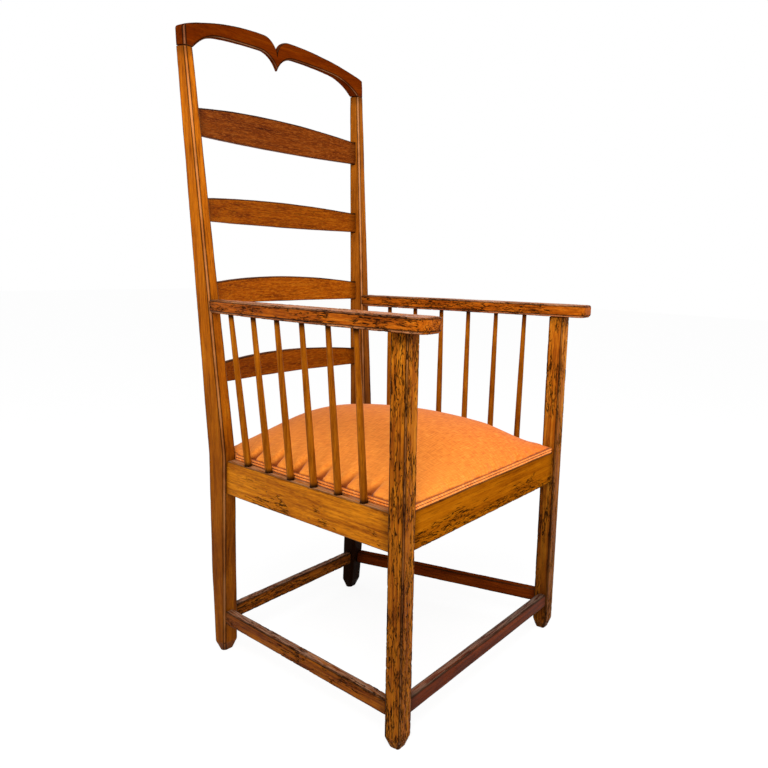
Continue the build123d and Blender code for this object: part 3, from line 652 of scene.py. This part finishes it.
# Each piece's grain direction, finish, spread of its checks, their extra spread along its lower edge,
# their depth, and its hidden ends
BOARDS = {
    "seat_rail_front": ("across", "pitted", -0.01, 0.24, CHECK_DEPTH, RAIL_TENONS),
    "seat_rail_rear": ("across", "honey", 0.0, 0.0, CHECK_DEPTH, RAIL_TENONS),
    "stretcher_left": ("back", "trodden", 0.1, 0.0, CHECK_DEPTH, STRETCHER_TENONS),
    "stretcher_right": ("back", "russet", -0.12, 0.0, CHECK_DEPTH, STRETCHER_TENONS),
    "stretcher_front": ("across", "kicked", -0.06, 0.0, CHECK_DEPTH, STRETCHER_TENONS),
    "stretcher_rear": ("across", "trodden", 0.2, 0.0, CHECK_DEPTH, STRETCHER_TENONS),
    "front_post_left": ("up", "checked", 0.22, 0.1, CHECK_DEPTH, FRONT_POST_TENON),
    "front_post_right": ("up", "far_checked", 0.13, 0.1, CHECK_DEPTH, FRONT_POST_TENON),
    "crest_rail": ("across", "crest", CLEAN, 0.0, 0.0, NO_TENONS),
    "back_slat_1": ("across", "dull_slat", CLEAN, 0.0, 0.0, SLAT_TENONS),
    "back_slat_2": ("across", "slat", CLEAN, 0.0, 0.0, SLAT_TENONS),
    "back_slat_3": ("across", "dull_slat", CLEAN, 0.0, 0.0, SLAT_TENONS),
    "back_slat_4": ("across", "brown_slat", CLEAN, 0.0, 0.0, SLAT_TENONS),
    "rear_post_left": ("up", "post", -0.12, 0.1, 0.0, REAR_POST_TENON),
    "rear_post_right": ("up", "smoked", -0.12, 0.1, 0.0, REAR_POST_TENON),
    "seat_rail_left": ("back", "honey", -0.02, 0.1, CHECK_DEPTH, RAIL_TENONS),
    "arm_left": ("back", "handled", 0.1, 0.08, CHECK_DEPTH, ARM_END),
    "seat_rail_right": ("back", "honey", -0.02, 0.1, CHECK_DEPTH, RAIL_TENONS),
    "arm_right": ("back", "handled", 0.1, 0.08, CHECK_DEPTH, ARM_END),
}
for index, (node, recipe) in enumerate(BOARDS.items(), start=1):
    worn_piece(node, *recipe, index)

# Numbers past the boards' own, so that no two pieces share their grain
FIRST_SPINDLE = 40
SPINDLE_ROWS = range(1, 7)
SPINDLES = [f"spindle_{row}_{side}" for row in SPINDLE_ROWS for side in ("left", "right")]
for index, node in enumerate(SPINDLES, start=FIRST_SPINDLE):
    turned_piece(node, SPINDLE_TENONS, index)


# Cloths

def threads(tree, cloth, scale):
    """Uneven threads that run one way: fine across, slow along."""
    scaled = add(tree, "ShaderNodeVectorMath", (cloth, scale), operation="MULTIPLY")
    return add(tree, "ShaderNodeTexNoise", {"Vector": scaled, "Scale": 1.0, "Detail": 2.0, "Roughness": 0.55},
               noise_dimensions="2D")


def linen(name, tones, fold, pitch=THREAD_PITCH):
    """Plain woven cloth: matt, with thick and thin threads both ways, so tiny broken stripes."""
    material, tree = new_material(name)
    cloth = add(tree, "ShaderNodeAttribute", output="Vector", attribute_name="cloth")
    warp = threads(tree, cloth, (1 / pitch, 1 / SLUB_LENGTH, 1.0))
    weft = threads(tree, cloth, (1 / SLUB_LENGTH, 1 / pitch, 1.0))
    weave = add(tree, "ShaderNodeMix", {0: WEFT_SHARE, 2: warp, 3: weft})
    ground = add(tree, "ShaderNodeValToRGB", (weave,), stops=list(zip(WEAVE_STOPS, tones)))
    # Painted light on the window's side, and painted shade in creases, at the seam and on the cords
    painted_light = add(tree, "ShaderNodeAttribute", output="Fac", attribute_name="painted_light")
    painted_light_mix = add(tree, "ShaderNodeMath", (painted_light, PAINTED_LIGHT_SHARE), operation="MULTIPLY")
    painted_shade = add(tree, "ShaderNodeAttribute", output="Fac", attribute_name="painted_shade")
    shade = add(tree, "ShaderNodeMapRange", (painted_shade, *PAINTED_SHADE_LEVELS, 0.0, PAINTED_SHADE_DARKNESS),
                interpolation_type="SMOOTHSTEP")
    finished = ground
    for share, tone in ((painted_light_mix, PAINTED_LIGHT_COLOUR), (shade, fold)):
        finished = add(tree, "ShaderNodeMix", {0: share, 6: finished, 7: colour(tone)}, output=2,
                       data_type="RGBA")
    bump = add(tree, "ShaderNodeBump", {"Strength": 0.5, "Distance": WEAVE_RELIEF, "Height": weave})
    surface = add(tree, "ShaderNodeBsdfPrincipled", {
        "Base Color": finished, "Roughness": 0.85, "IOR": 1.45, "Specular IOR Level": 0.2,
        "Sheen Weight": 0.08, "Sheen Roughness": 0.5, "Normal": bump})
    add(tree, "ShaderNodeOutputMaterial", {"Surface": surface}, output=None)
    return material


# Cover: slubbed linen, dyed orange, matt, with painted light on the window's side and painted shade in
# its creases
ORANGE = linen("slubbed_linen_orange", ("#D4580C", "#E66D11", "#F07C1D", "#FB9433"), "#7A2A04")
# Piping: cord covered with the same linen in paler tones, with painted shade above and below each cord
PIPING = linen("linen_covered_cord", ("#E06E18", "#EE822A", "#F6923C", "#FFAA60"), "#7A2E04")
# Straps: woven jute tape, a dull straw brown
JUTE = linen("jute_webbing", ("#6B5231", "#8A6C42", "#A08352", "#B99B69"), "#4A3820", JUTE_PITCH)
# Deck: hessian, a coarse jute weave, browner than the straps
HESSIAN = linen("hessian", ("#5F4A2B", "#7F643B", "#97794A", "#AE9160"), "#4A3820", HESSIAN_PITCH)


def lay_cloth(piece, shoulder):
    """Stores where each point lies on the cloth, which turns down over the sides."""
    points = points_of(piece)
    square = points_of(piece, "normal") ** 2
    drop = np.clip(shoulder - points[:, 2], 0.0, None)
    share = square[:, 0] / (square[:, 0] + square[:, 1] + LEVEL_GUARD)
    across = points[:, 0] + np.sign(points[:, 0]) * drop * share
    back = points[:, 1] + np.sign(points[:, 1]) * drop * (1 - share)
    store(piece, "cloth", np.stack([across, back, np.zeros(len(points))], axis=1))


# Cushion

def swell(piece, base):
    """Blows the stuffed cover up by cloth simulation, held along its tacked lower edge."""
    before = points_of(piece)
    loose = before[:, 2:] > base + TACKED_HEIGHT
    held = piece.vertex_groups.new(name="tacked")
    held.add([int(i) for i in np.nonzero(before[:, 2] < base + TACKED_HEIGHT)[0]], 1.0, "REPLACE")
    start = before - points_of(piece, "normal") * CUSHION_SHRINK * loose
    move_points(piece, start)
    cloth = piece.modifiers.new("cloth", "CLOTH")
    cloth.settings.use_pressure = True
    cloth.settings.uniform_pressure_force = CUSHION_PRESSURE
    cloth.settings.vertex_group_mass = "tacked"
    cloth.settings.effector_weights.gravity = 0.0
    cloth.point_cache.frame_start = 1
    cloth.point_cache.frame_end = CUSHION_FRAMES
    for number in range(1, CUSHION_FRAMES + 1):
        bpy.context.scene.frame_set(number)
    settle(piece)
    bpy.context.scene.frame_set(1)
    move = points_of(piece) - start
    length = np.linalg.norm(move, axis=1, keepdims=True)
    move *= np.minimum(1.0, CUSHION_CAP / np.maximum(length, LEAST_MOVE))
    move_points(piece, start + move)


def side_limit(outline, depth):
    """Half width of the cover at a depth, read from its CAD outline between the posts."""
    places, widths = [], []
    for share in END_SHARES:
        middle = np.quantile(outline[:, 1], share)
        band = outline[np.abs(outline[:, 1] - middle) < END_BAND]
        places.append(band[:, 1].mean())
        widths.append(np.abs(band[:, 0]).max())
    return widths[0] + (depth - places[0]) * (widths[1] - widths[0]) / (places[1] - places[0])


def tuck(points, outline, base):
    """Keeps the cover inside the spindles and folds it in beside their feet.

    It returns how deep the folds are, from 0 to 1.
    """
    side = np.sign(points[:, 0])
    inside = np.abs(points[:, 0]) - side_limit(outline, points[:, 1])
    points[:, 0] -= side * np.maximum(inside, 0.0)
    rise = points[:, 2] - base
    fold = np.zeros(len(points))
    for row in SPINDLE_ROWS:
        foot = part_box(f"spindle_{row}_left")[0][1] + SPINDLE_FOOT_RADIUS
        behind = points[:, 1] - (foot + CREASE_BEHIND) + rise * CREASE_LEAN
        fold = np.maximum(fold, np.exp(-(behind / CREASE_WIDTH) ** 2))
    fold *= np.clip(1 - rise / CREASE_HEIGHT, 0.0, 1.0)
    fold *= np.exp(-(np.minimum(inside, 0.0) / CREASE_REACH) ** 2)
    points[:, 0] -= side * fold * CREASE_DEPTH
    points[:, 2] -= fold * CREASE_DEPTH * CREASE_SAG
    return fold


def stuff_unevenly(points, base):
    """Stuffs one side of the cover fuller than the other."""
    full = np.exp(-((points[:, 0] - FULL_PLACE) / FULL_WIDTH) ** 2)
    flat = np.exp(-((points[:, 0] - FLAT_PLACE) / FLAT_WIDTH) ** 2)
    shoulder = np.clip((points[:, 2] - base - FULL_START) / FULL_RISE, 0.0, 1.0)
    length = np.exp(-((points[:, 1] - FULL_MIDDLE) / FULL_LENGTH) ** 4)
    points[:, 2] += FULLER_SIDE * (full - FLAT_SHARE * flat) * shoulder * length


def pucker(piece, outline, base):
    """Gives the cover creases, uneven stuffing, a wavering edge, painted shade and painted light."""
    points = points_of(piece)
    fold = tuck(points, outline, base)
    stuff_unevenly(points, base)
    edge = np.exp(-((points[:, 2] - base - RIPPLE_HEIGHT) / RIPPLE_WIDTH) ** 2)
    ripple = sum(np.sin(points[:, 0] * rate + phase) for rate, phase in RIPPLES)
    points[:, 1] += RIPPLE_DEPTH * ripple * edge
    move_points(piece, points)
    # Painted shade along the seam above the piping and in the creases beside the spindles
    seam_shade = SEAM_SHADE * np.clip(1 - (points[:, 2] - base - SEAM_HEIGHT) / SEAM_WIDTH, 0.0, 1.0)
    store(piece, "painted_shade", np.maximum(fold, seam_shade))
    # Painted light, paler towards the window's side
    store(piece, "painted_light", np.clip(PAINTED_LIGHT_MIDDLE - PAINTED_LIGHT_SLOPE * points[:, 0], 0.0, 1.0))


def cushion():
    """The stuffed linen cover."""
    node = "seat_cushion"
    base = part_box(node)[0][2]
    piece = copy_of(node, "linen_cushion")
    outline = points_of(piece)
    reskin(piece, CUSHION_VOXEL, passes=6)
    swell(piece, base)
    smooth = piece.modifiers.new("smooth", "SUBSURF")
    smooth.levels = 1
    smooth.render_levels = 1
    settle(piece)
    pucker(piece, outline, base)
    lay_cloth(piece, base + SHOULDER_HEIGHT)
    dress(piece, ORANGE, "orange_cover", node)


cushion()


# Piping round the foot of the cover

def piping_tree():
    """A tree that runs one round cord along a closed path with eased corners."""
    tree, source = open_tree("piping", ("Cord radius", "Corner radius"))
    path = add(tree, "GeometryNodeMeshToCurve", (source["Geometry"],))
    eased = add(tree, "GeometryNodeFilletCurve",
                {"Curve": path, "Radius": source["Corner radius"], "Count": CORNER_POINTS}, mode="POLY")
    even = add(tree, "GeometryNodeResampleCurve", {"Curve": eased, "Length": CORD_STEP}, mode="LENGTH")
    place = add(tree, "GeometryNodeInputPosition")
    waver = add(tree, "ShaderNodeTexNoise", {"Vector": place, "Scale": 1 / WAVER_LENGTH, "Detail": 1.0},
                output=1)
    centred = add(tree, "ShaderNodeVectorMath", (waver, (NOISE_MIDDLE,) * 3), operation="SUBTRACT")
    drift = add(tree, "ShaderNodeVectorMath", (centred, (2 * CORD_WAVER,) * 3), operation="MULTIPLY")
    wavering = add(tree, "GeometryNodeSetPosition", {"Geometry": even, "Offset": drift})
    ring = add(tree, "GeometryNodeCurvePrimitiveCircle",
               {"Resolution": CORD_SIDES, "Radius": source["Cord radius"]})
    cord = add(tree, "GeometryNodeCurveToMesh", {"Curve": wavering, "Profile Curve": ring})
    close_tree(tree, cord, source["Material"])
    return tree


def piping_corners(radius):
    """Corners of the piping's path in plan, read from the welt node and moved in by a radius."""
    outline = copy_of("seat_welt", "welt_outline")
    points = points_of(outline)
    bpy.data.objects.remove(outline)
    low, high = points.min(axis=0), points.max(axis=0)
    front_x = points[points[:, 1] < low[1] + PLAN_TOLERANCE, 0].max()
    rear_x = points[points[:, 1] > high[1] - PLAN_TOLERANCE, 0].max()
    side_front = points[points[:, 0] > high[0] - PLAN_TOLERANCE, 1].min()
    notch = points[(points[:, 0] > rear_x + 2 * PLAN_TOLERANCE) & (points[:, 1] > high[1] - NOTCH_DEPTH)]
    side_rear_x, side_rear = notch[:, 0].max(), notch[:, 1].max()
    corners = [
        (front_x - radius, low[1] + radius),
        (front_x - radius, side_front + radius),
        (high[0] - radius, side_front + radius),
        (side_rear_x - radius, side_rear - radius),
        (rear_x - radius, side_rear - radius),
        (rear_x - radius, high[1] - radius),
    ]
    return corners + [(-x, y) for x, y in reversed(corners)]


def piping():
    """Two linen-covered cords, one above the other."""
    low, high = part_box("seat_welt")
    radius = (high[2] - low[2]) / 4  # two cords fill the welt's height
    corners = piping_corners(radius)
    count = len(corners)
    loop = [(i, (i + 1) % count) for i in range(count)]
    tree = piping_tree()
    for index, name in enumerate(("piping_lower", "piping_upper")):
        level = low[2] + radius * (1 + 2 * index)
        mesh = bpy.data.meshes.new(name)
        mesh.from_pydata([(x, y, level) for x, y in corners], loop, [])
        piece = placed(name, mesh)
        cord = piece.modifiers.new("cord", "NODES")
        cord.node_group = tree
        set_inputs(cord, {"Cord radius": radius, "Corner radius": 2 * radius, "Material": PIPING})
        settle(piece)
        across, back, height = points_of(piece).T
        store(piece, "cloth", np.stack([across + back, across - back + height, height], axis=1))
        # Painted shade above and below each cord's middle
        from_middle = np.abs(height - level) / radius
        store(piece, "painted_shade", np.clip((from_middle - CORD_SHADE_START) / (1 - CORD_SHADE_START), 0.0, 1.0))
        dress(piece, PIPING, "welt_cord", "seat_welt")


piping()


# Webbing and hessian under the cushion

def flat_cloth(node, slot, material):
    """A CAD strap or deck with eased edges and its weave."""
    piece = copy_of(node, "cloth_" + node)
    bevel = piece.modifiers.new("ease", "BEVEL")
    bevel.width = WEBBING_EASE
    bevel.segments = 1
    bevel.limit_method = "ANGLE"
    settle(piece)
    lay_cloth(piece, 0.0)
    dress(piece, material, slot, node)
    return piece


for direction, count in (("long", LONG_STRAPS), ("cross", CROSS_STRAPS)):
    for number in range(1, count + 1):
        flat_cloth(f"seat_strap_{direction}_{number}", "jute_webbing", JUTE)
deck = flat_cloth("seat_deck", "hessian", HESSIAN)


# Floor, light and camera

def sky():
    """Soft white light all round, and plain white where the camera sees it."""
    world = bpy.data.worlds.new("studio")
    bpy.context.scene.world = world
    world.use_nodes = True
    tree = world.node_tree
    tree.nodes.clear()
    rays = add(tree, "ShaderNodeLightPath", output=None)
    seen = add(tree, "ShaderNodeMath", (rays["Is Camera Ray"], rays["Is Glossy Ray"]), operation="MAXIMUM")
    seen = add(tree, "ShaderNodeMath", (seen, rays["Is Transmission Ray"]), operation="MAXIMUM")
    soft = add(tree, "ShaderNodeBackground", {"Color": colour("#FFFFFF"), "Strength": SOFT_SKY})
    white = add(tree, "ShaderNodeBackground", {"Color": colour("#FFFFFF"), "Strength": WHITE_SKY})
    mixed = add(tree, "ShaderNodeMixShader", (seen, soft, white))
    add(tree, "ShaderNodeOutputWorld", (mixed,), output=None)


def white_paper():
    """Matt paper that glows a little where the camera sees it, so that it stays white but holds a shadow."""
    material, tree = new_material("white_paper")
    rays = add(tree, "ShaderNodeLightPath", output=None)
    paper = add(tree, "ShaderNodeBsdfDiffuse", {"Color": colour("#F4F4F4")})
    glow = add(tree, "ShaderNodeEmission", {"Color": colour("#FFFFFF"), "Strength": FLOOR_GLOW})
    seen = add(tree, "ShaderNodeMath", (rays["Is Camera Ray"], FLOOR_GLOW_SHARE), operation="MULTIPLY")
    mixed = add(tree, "ShaderNodeMixShader", (seen, paper, glow))
    add(tree, "ShaderNodeOutputMaterial", (mixed,), output=None)
    return material


def floor():
    """A wide sheet of white paper under the chair."""
    mesh = bpy.data.meshes.new("floor")
    corners = [(-FLOOR_REACH, -FLOOR_REACH, 0), (FLOOR_REACH, -FLOOR_REACH, 0),
               (FLOOR_REACH, FLOOR_REACH, 0), (-FLOOR_REACH, FLOOR_REACH, 0)]
    mesh.from_pydata(corners, [], [(0, 1, 2, 3)])
    mesh.materials.append(white_paper())
    placed("floor", mesh)


def lamp(name, place, size, power):
    """A square lamp turned towards the chair."""
    light = bpy.data.lights.new(name, "AREA")
    light.shape = "SQUARE"
    light.size = size
    light.energy = power
    holder = placed(name, light)
    holder.location = place
    holder.rotation_euler = (LAMP_TARGET - Vector(place)).to_track_quat("-Z", "Y").to_euler()


def photograph_camera():
    """The camera that took the photograph."""
    turn, tip, roll = (math.radians(angle) for angle in (CAMERA_TURN, CAMERA_TIP, CAMERA_ROLL))
    level = Vector((math.cos(turn), math.sin(turn), 0.0))
    ahead = Vector((-math.sin(turn) * math.cos(tip), math.cos(turn) * math.cos(tip), -math.sin(tip)))
    above = level.cross(ahead)
    right = level * math.cos(roll) + above * math.sin(roll)
    up = above * math.cos(roll) - level * math.sin(roll)
    data = bpy.data.cameras.new("camera")
    data.sensor_width = SENSOR_WIDTH
    data.lens = FOCAL_PIXELS / IMAGE_SIDE * SENSOR_WIDTH
    data.shift_x = (IMAGE_SIDE / 2 - CENTRE_PIXEL[0]) / IMAGE_SIDE
    data.shift_y = (CENTRE_PIXEL[1] - IMAGE_SIDE / 2) / IMAGE_SIDE
    camera = placed("camera", data)
    turned = Matrix((right, up, -ahead)).transposed().to_4x4()
    front = Vector((0.0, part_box("front_post_left")[0][1], 0.0))
    camera.matrix_world = Matrix.Translation(CAMERA_PLACE + front) @ turned
    bpy.context.scene.camera = camera


sky()
floor()
for name, (place, size, power) in LAMPS.items():
    lamp(name, place, size, power)
photograph_camera()
bpy.context.scene.view_settings.view_transform = "Standard"
